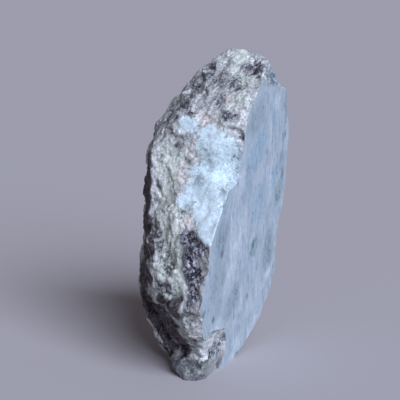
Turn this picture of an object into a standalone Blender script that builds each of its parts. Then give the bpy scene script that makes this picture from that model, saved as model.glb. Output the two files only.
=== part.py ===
"""Rough larimar: an upright slab of rough rock, sawn flat on one side.

The origin is on the flat foot and +Z is up. The sawn face looks towards +X and
leans out over the foot. +Y runs along it, from the near edge to the far edge.
Every number below is in millimetres, unless it says otherwise.
"""
import math

import bmesh
import bpy
from mathutils import Vector, noise

MM = 0.001
NODE = "larimar_stone"

# Driving dimensions
SAW_LEAN = math.radians(10.0)   # how far the sawn face leans out, from upright
SAW_FOOT_X = 6.2                # where the sawn plane meets the floor
SPARE = 3.0                     # rock left proud of each flat face before it is cut
GRID = 1.0                      # size of the cells that the lumps are fused on
TRIANGLES = 9800                # what the finished stone is reduced to

# Relief of the broken faces: the size of each kind, its height, and where its pattern starts
RELIEF_START = Vector((-1.4, 9.4, 0.0))
LUMP_SIZE = 15.0
LUMP_HEIGHT = 1.0
LUMP_START = Vector((3.1, 0.4, 5.2))
KNOLL_SIZE = 6.0
KNOLL_HEIGHT = 0.8
KNOLL_OCTAVES = 3
CHIP_SIZE = 5.0
CHIP_HEIGHT = 0.35
CHIP_SLOPE = 0.12
PIT_SIZE = 4.2
PIT_DEPTH = 0.8
PIT_START = Vector((9.0, 2.0, 4.0))
PIT_RIM = (0.15, 0.6)           # noise values at the rim and the floor of a pit

# Ledges, only on the lower left
LEDGE_PITCH = 7.5
LEDGE_HEIGHT = 0.9
LEDGE_RISE = Vector((-0.35, 0.45, 0.82))    # the way that one ledge follows another
LEDGE_WANDER = 1.6
LEDGE_WANDER_SIZE = 13.0
LEDGE_RIGHT_END = (-4.5, 7.5)   # x over which they fade
LEDGE_TOP_END = (44.0, 56.0)    # z over which they fade

# The even middle of the front: what is left of the relief there, and where it is
CALM = 0.45
CALM_BACK = (-13.5, -3.5)       # y over which it ends
CALM_BOTTOM = (44.0, 50.0)      # z over which it starts
CALM_TOP = (78.0, 84.0)         # z over which it ends

SAW_NORMAL = Vector((math.cos(SAW_LEAN), 0.0, -math.sin(SAW_LEAN)))
SAW_POINT = Vector((SAW_FOOT_X, 0.0, 0.0))


def on_saw(y, z, proud=SPARE):
    """A corner of the sawn face, moved out past the plane so that the saw cuts it."""
    x = SAW_FOOT_X + z * math.tan(SAW_LEAN) + proud
    return (x, y, z)


# The tall slab: crown, shoulder, front face, back and far end
SLAB = [
    # outline on the sawn side, from the crown down the far edge
    on_saw(-8.4, 95.2), on_saw(0.4, 92.0), on_saw(10.1, 86.0), on_saw(20.6, 70.5),
    on_saw(28.6, 52.0), on_saw(29.6, 46.0), on_saw(27.6, 36.0),
    # outline on the sawn side, up the near edge
    on_saw(-18.4, 50.0), on_saw(-18.9, 68.0), on_saw(-20.2, 84.0), on_saw(-15.9, 90.0),
    # summit and the shoulder that falls away to the left
    (8.4, -0.4, 100.6), (12.4, 0.1, 98.9), (2.6, 0.6, 97.6), (-1.2, 2.6, 94.2), (-8.7, 2.6, 85.6),
    (-15.6, -0.9, 76.6), (-19.8, -0.4, 68.0),
    # ridge under the crown, from the left corner to the near edge
    (-11.2, -13.1, 74.5), (-1.9, -18.0, 79.6), (3.4, -18.9, 81.0), (13.4, -21.4, 80.8),
    # corner between the front face and the left side
    (-12.3, -16.3, 67.0), (-12.0, -17.3, 58.0), (-10.3, -18.2, 44.0),
    # left side and back
    (-20.6, -0.4, 60.0), (-20.9, -0.4, 52.0), (-18.6, 16.6, 58.0), (-16.6, 17.6, 40.0),
    (-13.6, 17.6, 72.0), (-3.6, 15.6, 86.0), (7.4, 12.6, 93.5),
    (7.4, 26.6, 66.0), (-4.6, 28.6, 44.0),
]

# The lower half, which stands out towards the near side and is cut back beneath
NOSE = [
    # outline on the sawn side, from the top of the ramp down the near edge
    on_saw(-17.4, 63.0), on_saw(-28.2, 60.6), on_saw(-30.9, 54.0), on_saw(-34.4, 46.0),
    on_saw(-34.4, 36.0), on_saw(-35.4, 28.0), on_saw(-25.7, 15.8), on_saw(-16.4, 7.1),
    # outline on the sawn side, along the bottom and up the far edge
    on_saw(7.6, 1.6), on_saw(21.6, 5.0), on_saw(28.6, 8.8), on_saw(33.1, 14.5),
    on_saw(34.6, 22.0), on_saw(31.6, 31.0), on_saw(27.6, 44.0),
    # ramp at the top of the nose and its crest
    (8.4, -21.8, 65.0), (2.4, -22.9, 57.0), (-4.8, -21.9, 53.0), (4.4, -28.4, 44.0),
    # corner between the front face and the left side
    (-12.4, -17.9, 50.5), (-10.9, -21.7, 41.9), (-9.9, -23.4, 36.0),
    # brow over the cut-back underside, running down to the right
    (-6.5, -24.7, 32.0), (-4.4, -26.6, 28.6), (2.8, -30.7, 25.0),
    # corner beside the sawn face, down to the knob
    (5.0, -27.1, 16.7), (5.6, -23.6, 12.7),
    # left side, down to the rim
    (-20.8, -1.4, 50.0), (-21.6, -2.9, 35.0), (-22.0, -2.9, 26.0), (-21.4, -1.4, 18.0),
    (-19.8, -1.4, 12.0), (-16.5, -2.9, 7.6), (-11.6, -4.4, 4.5),
    # back
    (-17.6, 18.6, 44.0), (-18.1, 18.6, 24.0), (-12.6, 16.6, 8.0), (-5.6, 29.6, 40.0),
    (-3.6, 31.6, 22.0), (1.4, 27.6, 10.0),
    # underside
    (-6.6, -7.4, 1.5), (-7.6, 8.6, -SPARE), (2.4, 9.6, -SPARE),
]

# The corner broken off at the top of the far edge
NOTCH = [
    (13.4, 0.6, 99.0), (13.4, 3.8, 88.4), (13.4, 10.6, 86.4), (13.4, 14.6, 92.0),
    (33.4, 0.6, 99.0), (33.4, 3.8, 88.4), (33.4, 10.6, 86.4), (33.4, 14.6, 92.0),
]

# The flake split off the top of the sawn face, just below the crown
FLAKE = [
    on_saw(-11.9, 91.0, 0.0), on_saw(4.1, 88.6, 0.0),
    on_saw(-11.9, 98.0, -1.6), on_saw(4.1, 98.0, -1.6),
    on_saw(-11.9, 91.0, 9.0), on_saw(4.1, 88.6, 9.0),
    on_saw(-11.9, 98.0, 9.0), on_saw(4.1, 98.0, 9.0),
]

# The knob that the stone stands on
KNOB = [
    # front, which hangs over the foot a little
    (-6.6, -13.4, 5.6), (-6.4, -13.4, 2.6), (-4.0, -15.6, 0.8), (-1.0, -18.7, 0.8),
    (1.4, -19.8, 0.8), (3.8, -18.6, 5.8), (-1.1, -18.4, 5.0),
    # foot
    (-5.1, -12.4, -SPARE), (-0.2, -16.8, -SPARE), (2.0, -17.8, -SPARE), (5.8, -11.9, -SPARE),
    (-8.1, -7.4, -SPARE), (-9.1, 2.6, -SPARE), (-2.6, 10.6, -SPARE),
    # sawn side and back
    on_saw(-16.4, 7.1), on_saw(-11.4, 2.2), on_saw(-2.9, -SPARE), on_saw(8.6, -SPARE),
    (-9.0, -7.4, 4.4), (-2.6, 4.6, 6.0),
]


def clear_scene():
    for obj in list(bpy.data.objects):
        bpy.data.objects.remove(obj, do_unlink=True)


def make_collection(name):
    collection = bpy.data.collections.new(name)
    bpy.context.scene.collection.children.link(collection)
    return collection


def make_object(name, bm, collection):
    mesh = bpy.data.meshes.new(name)
    bm.to_mesh(mesh)
    bm.free()
    obj = bpy.data.objects.new(name, mesh)
    collection.objects.link(obj)
    return obj


def make_lump(name, corners, collection):
    """One convex block of rock, stretched over its corners."""
    bm = bmesh.new()
    for corner in corners:
        bm.verts.new(Vector(corner) * MM)
    hull = bmesh.ops.convex_hull(bm, input=bm.verts[:])
    unused = set(hull["geom_interior"]) | set(hull["geom_unused"])
    inside = [item for item in unused if isinstance(item, bmesh.types.BMVert)]
    bmesh.ops.delete(bm, geom=inside, context="VERTS")
    bmesh.ops.recalc_face_normals(bm, faces=bm.faces[:])
    return make_object(name, bm, collection)


def as_helper(obj):
    obj.hide_render = True
    obj.display_type = "WIRE"
    return obj


def combine(target, tool, operation):
    modifier = target.modifiers.new(tool.name, "BOOLEAN")
    modifier.operation = operation
    modifier.solver = "EXACT"
    modifier.object = as_helper(tool)


def bake(obj):
    """Replace an object's mesh by what its modifiers make of it."""
    graph = bpy.context.evaluated_depsgraph_get()
    mesh = bpy.data.meshes.new_from_object(obj.evaluated_get(graph))
    obj.modifiers.clear()
    obj.data = mesh


def fuse(obj):
    """Round the joined lumps into one even skin, fine enough to carry the relief."""
    modifier = obj.modifiers.new("fuse", "REMESH")
    modifier.mode = "VOXEL"
    modifier.voxel_size = GRID * MM
    bake(obj)


def smooth_step(low, high, value):
    t = min(1.0, max(0.0, (value - low) / (high - low)))
    return t * t * (3.0 - 2.0 * t)


def chips(point):
    """Small flat breaks: each cell has its own height and its own slope."""
    _, centres = noise.voronoi(point / CHIP_SIZE)
    centre = centres[0]
    step = noise.cell(centre * 7.0)
    slope = noise.cell_vector(centre * 7.0) * 2.0 - Vector((1.0, 1.0, 1.0))
    return CHIP_HEIGHT * (step - 0.5) + CHIP_SLOPE * slope.dot(point - centre * CHIP_SIZE)


def ledges(point):
    """Steps that run down to the right across the lower left of the stone."""
    wander = LEDGE_WANDER * noise.noise(point / LEDGE_WANDER_SIZE)
    phase = (LEDGE_RISE.dot(point) / LEDGE_PITCH + wander) % 1.0
    tread = smooth_step(0.0, 0.75, phase) - smooth_step(0.8, 1.0, phase)
    return LEDGE_HEIGHT * (tread - 0.5)


def lower_left(point):
    """One on the lower left of the stone, where the ledges are, and zero elsewhere."""
    left = 1.0 - smooth_step(*LEDGE_RIGHT_END, point.x)
    low = 1.0 - smooth_step(*LEDGE_TOP_END, point.z)
    return left * low


def calm(point):
    """One where the stone is broken up, CALM on the even middle of the front."""
    front = 1.0 - smooth_step(*CALM_BACK, point.y)
    above = smooth_step(*CALM_BOTTOM, point.z)
    below = 1.0 - smooth_step(*CALM_TOP, point.z)
    return 1.0 - (1.0 - CALM) * front * above * below


def relief(point):
    """Height of the broken surface above the lumps, at one place on the stone."""
    place = point + RELIEF_START
    lumps = LUMP_HEIGHT * noise.noise(place / LUMP_SIZE + LUMP_START)
    knolls = KNOLL_HEIGHT * noise.fractal(place / KNOLL_SIZE, 1.0, 2.0, KNOLL_OCTAVES)
    pits = PIT_DEPTH * smooth_step(*PIT_RIM, noise.noise(place / PIT_SIZE + PIT_START))
    broken = knolls + chips(place) - pits
    return lumps + ledges(place) * lower_left(point) + broken * calm(point)


def roughen(obj):
    """Give every broken face its relief, and leave the spare rock at the saw cut plain."""
    bm = bmesh.new()
    bm.from_mesh(obj.data)
    bm.normal_update()
    places = []
    for vert in bm.verts:
        point = vert.co / MM
        beyond = SAW_NORMAL.dot(point - SAW_POINT)
        facing = vert.normal.dot(SAW_NORMAL)
        broken = 1.0 - smooth_step(0.6, 0.9, facing) * smooth_step(1.0, 2.5, beyond)
        places.append(vert.co + vert.normal * relief(point) * broken * MM)
    for vert, place in zip(bm.verts, places):
        vert.co = place
    bm.to_mesh(obj.data)
    bm.free()


def reduce_to(obj, triangles):
    obj.data.calc_loop_triangles()
    modifier = obj.modifiers.new("reduce", "DECIMATE")
    modifier.ratio = triangles / len(obj.data.loop_triangles)
    modifier.use_collapse_triangulate = True
    bake(obj)


def cut_flat(bm, point, normal):
    """Saw off what lies past a plane, and close the cut with one flat face."""
    everything = bm.verts[:] + bm.edges[:] + bm.faces[:]
    cut = bmesh.ops.bisect_plane(bm, geom=everything, dist=0.00001, plane_co=point * MM,
                                 plane_no=normal, clear_outer=True)
    rim = [item for item in cut["geom_cut"] if isinstance(item, bmesh.types.BMEdge)]
    bmesh.ops.holes_fill(bm, edges=rim)


def cut_faces(obj):
    bm = bmesh.new()
    bm.from_mesh(obj.data)
    cut_flat(bm, SAW_POINT, SAW_NORMAL)
    cut_flat(bm, Vector((0.0, 0.0, 0.0)), Vector((0.0, 0.0, -1.0)))
    bmesh.ops.triangulate(bm, faces=bm.faces[:])
    bmesh.ops.dissolve_degenerate(bm, dist=0.00005, edges=bm.edges[:])
    bmesh.ops.triangulate(bm, faces=bm.faces[:])
    bmesh.ops.recalc_face_normals(bm, faces=bm.faces[:])
    bm.to_mesh(obj.data)
    bm.free()


def stone_material():
    material = bpy.data.materials.new("larimar_rock")
    material.use_nodes = True
    shader = material.node_tree.nodes["Principled BSDF"]
    shader.inputs["Base Color"].default_value = (0.33, 0.41, 0.50, 1.0)
    shader.inputs["Roughness"].default_value = 0.7
    shader.inputs["Metallic"].default_value = 0.0
    return material


def main():
    clear_scene()
    parts = make_collection("rough_larimar")
    helpers = make_collection("cutters")
    stone = make_lump(NODE, SLAB, parts)
    combine(stone, make_lump("nose", NOSE, helpers), "UNION")
    combine(stone, make_lump("knob", KNOB, helpers), "UNION")
    combine(stone, make_lump("notch", NOTCH, helpers), "DIFFERENCE")
    combine(stone, make_lump("flake", FLAKE, helpers), "DIFFERENCE")
    bake(stone)
    fuse(stone)
    roughen(stone)
    reduce_to(stone, TRIANGLES)
    cut_faces(stone)
    stone.data.name = NODE
    stone.data.materials.clear()
    stone.data.materials.append(stone_material())


main()
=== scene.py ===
# %% [markdown]
# # Rough larimar
#
# Larimar is a blue stone that fills hollows in dark volcanic rock. This piece was broken
# out of its vein and then sawn flat on one side. The other sides are as they broke: chalky
# blue where the vein is clean, grey-green and sandy around it, charcoal at its rim.
#
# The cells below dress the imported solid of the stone, which is loaded first. Lengths are
# in millimetres, times MM where Blender needs metres.

# %% Load the frame
import math

import bmesh
import bpy
import numpy as np
from mathutils import Matrix, Vector, noise


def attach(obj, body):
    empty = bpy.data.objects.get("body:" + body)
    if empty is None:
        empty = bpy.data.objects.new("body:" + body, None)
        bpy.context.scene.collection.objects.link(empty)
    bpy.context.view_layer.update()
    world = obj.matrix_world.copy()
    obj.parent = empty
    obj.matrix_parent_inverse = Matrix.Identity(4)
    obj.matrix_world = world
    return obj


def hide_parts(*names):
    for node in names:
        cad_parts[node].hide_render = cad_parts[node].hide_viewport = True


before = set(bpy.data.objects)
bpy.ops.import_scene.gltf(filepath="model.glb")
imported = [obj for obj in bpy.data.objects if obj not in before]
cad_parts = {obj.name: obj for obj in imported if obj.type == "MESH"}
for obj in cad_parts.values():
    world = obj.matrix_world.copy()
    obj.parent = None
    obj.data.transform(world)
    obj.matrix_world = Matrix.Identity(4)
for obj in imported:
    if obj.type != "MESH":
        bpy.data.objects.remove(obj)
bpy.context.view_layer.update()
MM = 0.001

# %% [markdown]
# ## Camera
#
# The stone is seen from the front, a little from above, with its sawn face turned away to
# the right. A long lens from 42 cm keeps upright lines upright, as in a shop picture.

# %% Place the camera
AZIMUTH = math.radians(22.0)
ELEVATION = math.radians(12.0)
AIM = Vector((1.4, -9.4, 54.2))
AWAY = 420.0
BACK = Vector((math.sin(AZIMUTH) * math.cos(ELEVATION),
               -math.cos(AZIMUTH) * math.cos(ELEVATION), math.sin(ELEVATION)))

lens = bpy.data.cameras.new("camera")
lens.lens = 126.0
lens.sensor_width = 36.0
camera = bpy.data.objects.new("camera", lens)
camera.location = (AIM + BACK * AWAY) * MM
camera.rotation_euler = BACK.to_track_quat("Z", "Y").to_euler()
bpy.context.scene.collection.objects.link(camera)
bpy.context.scene.camera = camera
bpy.context.scene.view_settings.view_transform = "Standard"
print("camera at, mm:", [round(side / MM) for side in camera.location])

# %% [markdown]
# ## The block
#
# The frame's solid has broad facets and no grain. Its mesh is loose triangles, so a copy
# is merged first. The sawn face and the foot are flat on the real stone, and the relief
# to come would roughen them. So both are grown outwards here, roughened with the rest,
# and cut flat again at the end, as a saw does. The rim then comes out as ragged as a real
# sawn edge, which a flat face kept by hand would not.

# %% Copy and merge the solid
NODE = "larimar_stone"
SAME_POINT = 0.005
stone_bm = bmesh.new()
stone_bm.from_mesh(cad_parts[NODE].data)
bmesh.ops.remove_doubles(stone_bm, verts=stone_bm.verts[:], dist=SAME_POINT * MM)
stone_bm.normal_update()
print("merged:", len(stone_bm.verts), "points,", len(stone_bm.faces), "faces")

# %% Grow spare rock past the flat faces
SAW_LEAN = math.radians(10.0)
SAW_NORMAL = Vector((math.cos(SAW_LEAN), 0.0, -math.sin(SAW_LEAN)))
SAW_POINT = Vector((6.2, 0.0, 0.0))
DOWN = Vector((0.0, 0.0, -1.0))
FLOOR = Vector((0.0, 0.0, 0.0))
SPARE = 2.0
ALIGNED, ON_PLANE = 0.999, 0.02


def flat_faces(bm, point, normal):
    """The faces of the mesh that lie on a plane."""
    return [face for face in bm.faces if face.normal.dot(normal) > ALIGNED
            and abs((face.calc_center_median() / MM - point).dot(normal)) < ON_PLANE]


def grow(bm, point, normal, height):
    """Push the faces that lie on a plane out past it."""
    flat = flat_faces(bm, point, normal)
    grown = bmesh.ops.extrude_face_region(bm, geom=flat)
    tops = [item for item in grown["geom"] if isinstance(item, bmesh.types.BMVert)]
    bmesh.ops.translate(bm, verts=tops, vec=normal * height * MM)
    bmesh.ops.delete(bm, geom=flat, context="FACES")


grow(stone_bm, SAW_POINT, SAW_NORMAL, SPARE)
grow(stone_bm, FLOOR, DOWN, SPARE)
print("open edges:", sum(not edge.is_manifold for edge in stone_bm.edges))


# %% Turn a bmesh into an object
def to_object(name, bm):
    mesh = bpy.data.meshes.new(name)
    bm.to_mesh(mesh)
    bm.free()
    obj = bpy.data.objects.new(name, mesh)
    bpy.context.scene.collection.objects.link(obj)
    return obj


stone = to_object("larimar_piece", stone_bm)
print("block:", len(stone.data.vertices), "points")

# %% [markdown]
# ## Places the saw missed
#
# The saw left two places rough: a chip at the top of its face, and the lower corner in
# front. A lumpy, flattened ball is taken out of the block at each. A Boolean is simple
# here, because the block is still coarse, and the skin made next rounds the seam away.

# %% Take out the chip and the rough corner
# centre, reach along x, y and z
MISSED = [
    (Vector((24.6, -0.5, 93.0)), Vector((4.2, 11.0, 6.6))),
    (Vector((9.2, -16.5, -1.0)), Vector((3.9, 17.0, 17.5))),
]
LUMP_HEIGHT, LUMP_COUNT = 0.12, 2.5  # of a ball with a radius of 1


def lumpy_ball(centre, reach):
    bm = bmesh.new()
    bmesh.ops.create_icosphere(bm, subdivisions=4, radius=1.0)
    for vert in bm.verts:
        vert.co *= 1.0 + LUMP_HEIGHT * noise.noise(vert.co * LUMP_COUNT + centre)
        vert.co = (vert.co * reach + centre) * MM
    return to_object("missed_place", bm)


for centre, reach in MISSED:
    missed = stone.modifiers.new("missed", "BOOLEAN")
    missed.operation = "DIFFERENCE"
    missed.solver = "EXACT"
    missed.object = lumpy_ball(centre, reach)


def apply_modifiers(obj):
    graph = bpy.context.evaluated_depsgraph_get()
    mesh = bpy.data.meshes.new_from_object(obj.evaluated_get(graph))
    obj.modifiers.clear()
    obj.data = mesh


balls = [missed.object for missed in stone.modifiers]
apply_modifiers(stone)
for ball in balls:
    bpy.data.objects.remove(ball)
print("block with missed places:", len(stone.data.vertices), "points")

# %% [markdown]
# ## Skin
#
# Relief needs points spread evenly over the whole stone. A voxel remesh gives them in one
# step and closes the seams. It copies the hard facets of the block, so the skin is
# smoothed a little afterwards. Broken stone has corners, but no ruled edges.

# %% Make one even skin
GRAIN = 0.42
skin = stone.modifiers.new("skin", "REMESH")
skin.mode = "VOXEL"
skin.voxel_size = GRAIN * MM
apply_modifiers(stone)
print("skin:", len(stone.data.vertices), "points,", len(stone.data.polygons), "faces")

# %% Soften the facets
SMOOTHINGS = 4
stone_bm = bmesh.new()
stone_bm.from_mesh(stone.data)
for _ in range(SMOOTHINGS):
    bmesh.ops.smooth_vert(stone_bm, verts=stone_bm.verts[:], factor=0.5,
                          use_axis_x=True, use_axis_y=True, use_axis_z=True)
stone_bm.normal_update()
POINTS = np.array([vert.co for vert in stone_bm.verts]) / MM
print("box of the skin, mm:", POINTS.min(axis=0).round(1), POINTS.max(axis=0).round(1))

# %% [markdown]
# ## Minerals
#
# Which mineral lies where is a fact of this very stone, so it is written down place by
# place: a centre, a reach across, in depth and up, a tilt, and how much of the mineral
# there is. Each place counts as an egg-shaped spot. The amounts are worked out for every
# point of the skin and kept on it as attributes, because both the relief and the finish
# need them. The eggs' outlines are pushed about with noise first, so none of them shows.
# Each list goes from the crown down to the foot.

# %% Note the dark places
# each row: centre, reach across, in depth and up, tilt in degrees, share
DARK = [
    # crown
    ((18.3, -8.7, 94.8), (2.7, 4.3, 1.9), -25, 0.82),
    ((14.8, -8.3, 94.4), (1.2, 2.5, 0.9), 0, 0.57),
    ((3.4, -4.9, 93.5), (1.6, 2.9, 1.2), 30, 0.85),
    ((21.6, -0.3, 93.2), (0.4, 3.6, 2.0), -5, 0.6),
    ((19.8, -11.1, 92.6), (0.9, 2.6, 1.4), 0, 0.76),
    ((22.3, -8.5, 92.4), (0.4, 5.2, 3.2), 5, 0.6),
    ((7.1, -8.6, 91.4), (1.3, 4.3, 2.8), 60, 0.62),
    ((2.0, -6.9, 91.3), (2.0, 3.3, 1.2), 0, 0.62),
    ((13.9, -11.6, 91.2), (2.0, 3.3, 1.1), 0, 0.76),
    ((11.5, -11.8, 89.9), (2.0, 3.3, 1.4), 0, 0.66),
    ((15.4, -14.0, 89.2), (2.1, 3.6, 1.4), 0, 0.81),
    ((-1.9, -5.2, 89.1), (1.8, 3.7, 2.1), 50, 0.5),
    ((1.0, -8.5, 87.8), (4.3, 6.1, 2.2), 50, 0.59),
    ((3.4, -10.5, 87.0), (3.0, 4.9, 2.2), 50, 0.45),
    ((10.4, -15.5, 85.4), (2.0, 3.3, 1.8), 45, 0.71),
    ((-1.3, -10.5, 85.3), (2.7, 4.3, 2.8), 50, 0.62),
    # shoulder
    ((-1.5, -14.0, 83.7), (3.6, 5.6, 1.7), 50, 0.45),
    ((-2.5, -13.0, 83.2), (1.6, 2.9, 0.9), 0, 0.85),
    ((-4.7, -11.6, 82.3), (1.6, 2.9, 0.8), 0, 0.85),
    ((14.8, -20.4, 82.2), (2.7, 4.3, 1.5), 0, 0.87),
    ((1.6, -16.9, 81.9), (1.6, 2.9, 0.8), 0, 0.81),
    ((-7.1, -10.6, 80.5), (2.3, 3.8, 2.4), 0, 0.5),
    ((-4.0, -16.3, 79.7), (1.6, 2.9, 0.8), 0, 0.85),
    ((-10.1, -5.2, 79.6), (3.6, 5.6, 2.0), 50, 0.35),
    ((-8.2, -11.8, 78.2), (1.6, 2.9, 0.7), 0, 0.76),
    ((-11.3, -10.0, 76.6), (2.3, 3.8, 1.1), 0, 0.6),
    ((18.5, -20.5, 76.1), (0.6, 2.1, 0.9), 0, 0.85),
    ((17.0, -20.5, 74.0), (0.7, 2.0, 0.7), 0, 0.66),
    ((-15.1, -5.8, 73.0), (1.6, 2.9, 0.9), 0, 0.6),
    ((-2.6, -18.1, 72.4), (0.9, 2.2, 0.8), 0, 0.71),
    ((-16.0, -5.3, 71.6), (1.2, 4.6, 2.8), -12, 0.8),
    ((-14.5, -10.4, 70.7), (1.6, 4.6, 3.1), 0, 0.5),
    # middle
    ((15.4, -19.6, 69.1), (0.4, 3.4, 1.8), 0, 0.4),
    ((-8.4, -16.7, 68.5), (1.6, 2.9, 1.2), 0, 0.57),
    ((1.2, -19.1, 67.7), (1.6, 2.9, 0.7), 20, 0.66),
    ((-9.2, -17.2, 58.8), (0.6, 3.0, 1.5), -35, 0.75),
    ((16.2, -23.0, 56.6), (1.2, 3.4, 1.8), 0, 0.35),
    ((-9.9, -17.3, 55.5), (0.7, 2.9, 1.4), -15, 0.75),
    ((1.8, -24.3, 54.2), (1.3, 2.7, 0.8), 0, 0.65),
    ((-3.2, -22.2, 54.0), (1.5, 2.9, 0.8), 0, 0.5),
    ((-7.7, -21.6, 49.3), (1.2, 2.5, 0.9), 0, 0.85),
    ((-7.8, -21.3, 48.0), (1.2, 4.6, 2.7), 0, 0.8),
    ((-9.7, -19.9, 46.9), (1.2, 4.0, 2.3), 0, 0.6),
    ((-7.5, -22.2, 46.0), (1.5, 3.5, 1.9), 0, 0.8),
    # lobe
    ((-5.6, -23.4, 42.6), (1.2, 3.6, 2.0), 0, 0.6),
    ((-3.1, -25.6, 39.1), (2.2, 4.9, 3.6), 10, 0.75),
    ((-2.8, -25.0, 39.0), (3.0, 5.0, 4.0), 0, 0.16),
    ((-1.9, -26.2, 38.4), (0.7, 4.1, 2.4), -28, 0.75),
    ((-9.3, -22.4, 37.1), (1.2, 4.0, 2.3), 0, 0.5),
    ((-1.7, -26.7, 37.0), (2.1, 4.2, 2.4), 30, 0.7),
    ((-4.0, -25.9, 36.6), (0.7, 2.6, 1.2), -40, 0.6),
    ((1.6, -28.6, 31.2), (1.8, 4.2, 2.4), -20, 0.45),
    ((-0.8, -28.2, 30.6), (3.3, 5.3, 0.9), 38, 0.65),
    ((-5.4, -25.6, 30.6), (2.4, 4.1, 1.8), -35, 0.6),
    ((-2.0, -27.7, 29.7), (2.1, 3.7, 1.5), -30, 0.75),
    ((-0.9, -28.6, 27.9), (2.7, 4.6, 2.8), 0, 0.35),
    # underside
    ((6.0, -30.0, 23.6), (2.7, 6.1, 4.0), -20, 0.42),
    ((5.8, -23.4, 13.4), (2.1, 3.7, 1.8), -35, 0.4),
    ((2.8, -20.1, 11.5), (1.8, 3.3, 1.2), 0, 0.6),
    ((7.1, -4.6, 10.7), (0.9, 9.0, 2.6), 20, 0.5),
    ((6.8, -13.1, 9.0), (0.7, 9.0, 3.2), 25, 0.7),
    ((6.7, -6.1, 8.5), (0.8, 9.0, 3.9), 20, 0.5),
    ((7.6, -11.8, 8.0), (3.0, 8.1, 5.5), 25, 0.3),
    # foot
    ((6.4, -8.2, 7.5), (0.8, 9.0, 2.6), 35, 0.7),
    ((6.3, -13.7, 6.6), (0.9, 9.0, 2.0), 35, 0.95),
    ((0.2, -16.2, 5.6), (3.0, 4.9, 0.3), 33, 0.8),
    ((5.6, -17.3, 5.4), (0.8, 8.0, 1.7), 50, 0.8),
    ((-2.0, -15.8, 4.4), (4.8, 6.0, 4.0), 0, 0.6),
    ((4.2, -17.8, 4.3), (0.9, 2.2, 0.5), 0, 0.8),
    ((1.4, -17.4, 3.2), (6.0, 7.6, 4.0), 0, 0.62),
    ((7.0, -14.0, 3.0), (3.0, 6.0, 2.5), 0, 0.2),
    ((5.7, -5.1, 2.6), (0.8, 8.0, 1.8), 35, 0.8),
]
print("dark places:", len(DARK))

# %% Note the purple-grey patch
PURPLE = [
    # middle
    ((3.6, -27.2, 47.2), (1.5, 2.9, 1.3), 0, 1.0),
    ((5.2, -28.1, 47.0), (2.7, 4.5, 2.3), -40, 0.95),
    # lobe
    ((10.0, -31.5, 44.7), (2.4, 4.3, 2.6), -20, 0.75),
    ((6.7, -30.2, 42.0), (2.1, 3.7, 1.8), 0, 0.9),
    ((8.8, -30.7, 38.2), (1.8, 5.4, 3.4), -12, 0.8),
    ((7.3, -30.2, 38.0), (3.3, 6.0, 9.6), -8, 0.75),
    ((6.3, -29.9, 36.0), (2.1, 4.5, 2.7), 0, 0.8),
    ((7.4, -30.3, 31.4), (2.1, 4.7, 2.8), 0, 0.78),
    ((7.1, -31.1, 28.3), (1.5, 2.9, 1.4), 0, 0.6),
]
print("purple places:", len(PURPLE))

# %% Note the brown skin
BROWN = [
    # middle
    ((-13.0, -15.2, 62.7), (1.6, 8.9, 6.1), 0, 0.9),
    ((-16.1, -9.9, 54.5), (2.1, 9.7, 6.7), 0, 0.95),
    ((-12.0, -18.6, 47.3), (1.8, 6.5, 4.3), 0, 0.95),
    ((-15.5, -12.5, 46.0), (2.2, 8.0, 12.0), 0, 0.95),
    # lobe
    ((-9.9, -21.7, 42.1), (1.2, 5.8, 3.7), 0, 0.9),
    ((-15.1, -14.0, 38.3), (1.8, 10.5, 7.3), 0, 0.95),
    ((-10.2, -20.7, 32.6), (1.5, 5.4, 3.3), -5, 0.9),
    ((-17.2, -9.6, 27.5), (2.4, 9.7, 6.7), 0, 0.95),
    ((-5.1, -24.9, 26.5), (3.0, 4.9, 1.8), -35, 0.8),
    ((0.5, -29.6, 26.2), (3.6, 5.6, 2.1), -35, 0.8),
    # underside
    ((0.3, -28.5, 24.4), (2.1, 4.6, 2.7), -20, 0.8),
    ((-13.7, -12.9, 22.4), (1.8, 5.8, 3.7), -20, 0.9),
    ((-9.0, -17.5, 22.0), (4.5, 6.5, 5.0), 25, 0.9),
    ((-7.5, -19.4, 21.0), (3.6, 6.1, 4.0), -35, 0.9),
    ((-4.0, -21.5, 20.5), (4.5, 6.5, 3.6), 30, 0.9),
    ((-19.4, -5.5, 19.8), (1.5, 6.5, 4.3), -15, 0.9),
    ((-14.2, -10.3, 18.4), (2.7, 6.1, 3.9), -30, 0.95),
    ((-6.2, -18.7, 16.9), (3.6, 7.3, 4.9), -30, 0.92),
    ((-4.0, -20.1, 16.0), (3.0, 5.8, 3.7), -35, 0.9),
    ((-14.7, -10.8, 15.9), (1.5, 4.6, 2.7), -30, 0.9),
    ((-9.5, -14.0, 14.0), (4.0, 6.0, 3.0), 35, 0.9),
    ((-15.7, -5.8, 13.4), (3.0, 6.0, 3.2), -35, 0.85),
    ((-3.1, -17.6, 12.9), (2.7, 5.0, 3.0), -35, 0.9),
    ((-1.2, -19.1, 11.9), (3.0, 4.9, 2.7), -35, 0.92),
    ((-2.7, -17.1, 10.2), (2.7, 4.5, 2.4), -35, 0.85),
    ((-8.7, -12.3, 10.0), (1.8, 3.4, 1.8), -30, 0.85),
    ((-11.4, -8.5, 9.2), (3.2, 6.0, 3.2), -35, 0.85),
    ((-1.1, -16.2, 8.9), (2.7, 4.5, 2.1), -35, 0.85),
    # foot
    ((-7.0, -10.8, 7.5), (2.1, 4.2, 2.4), -20, 0.9),
    ((-8.9, -8.0, 6.0), (3.2, 5.0, 2.6), -35, 0.8),
]
print("brown places:", len(BROWN))

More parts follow.
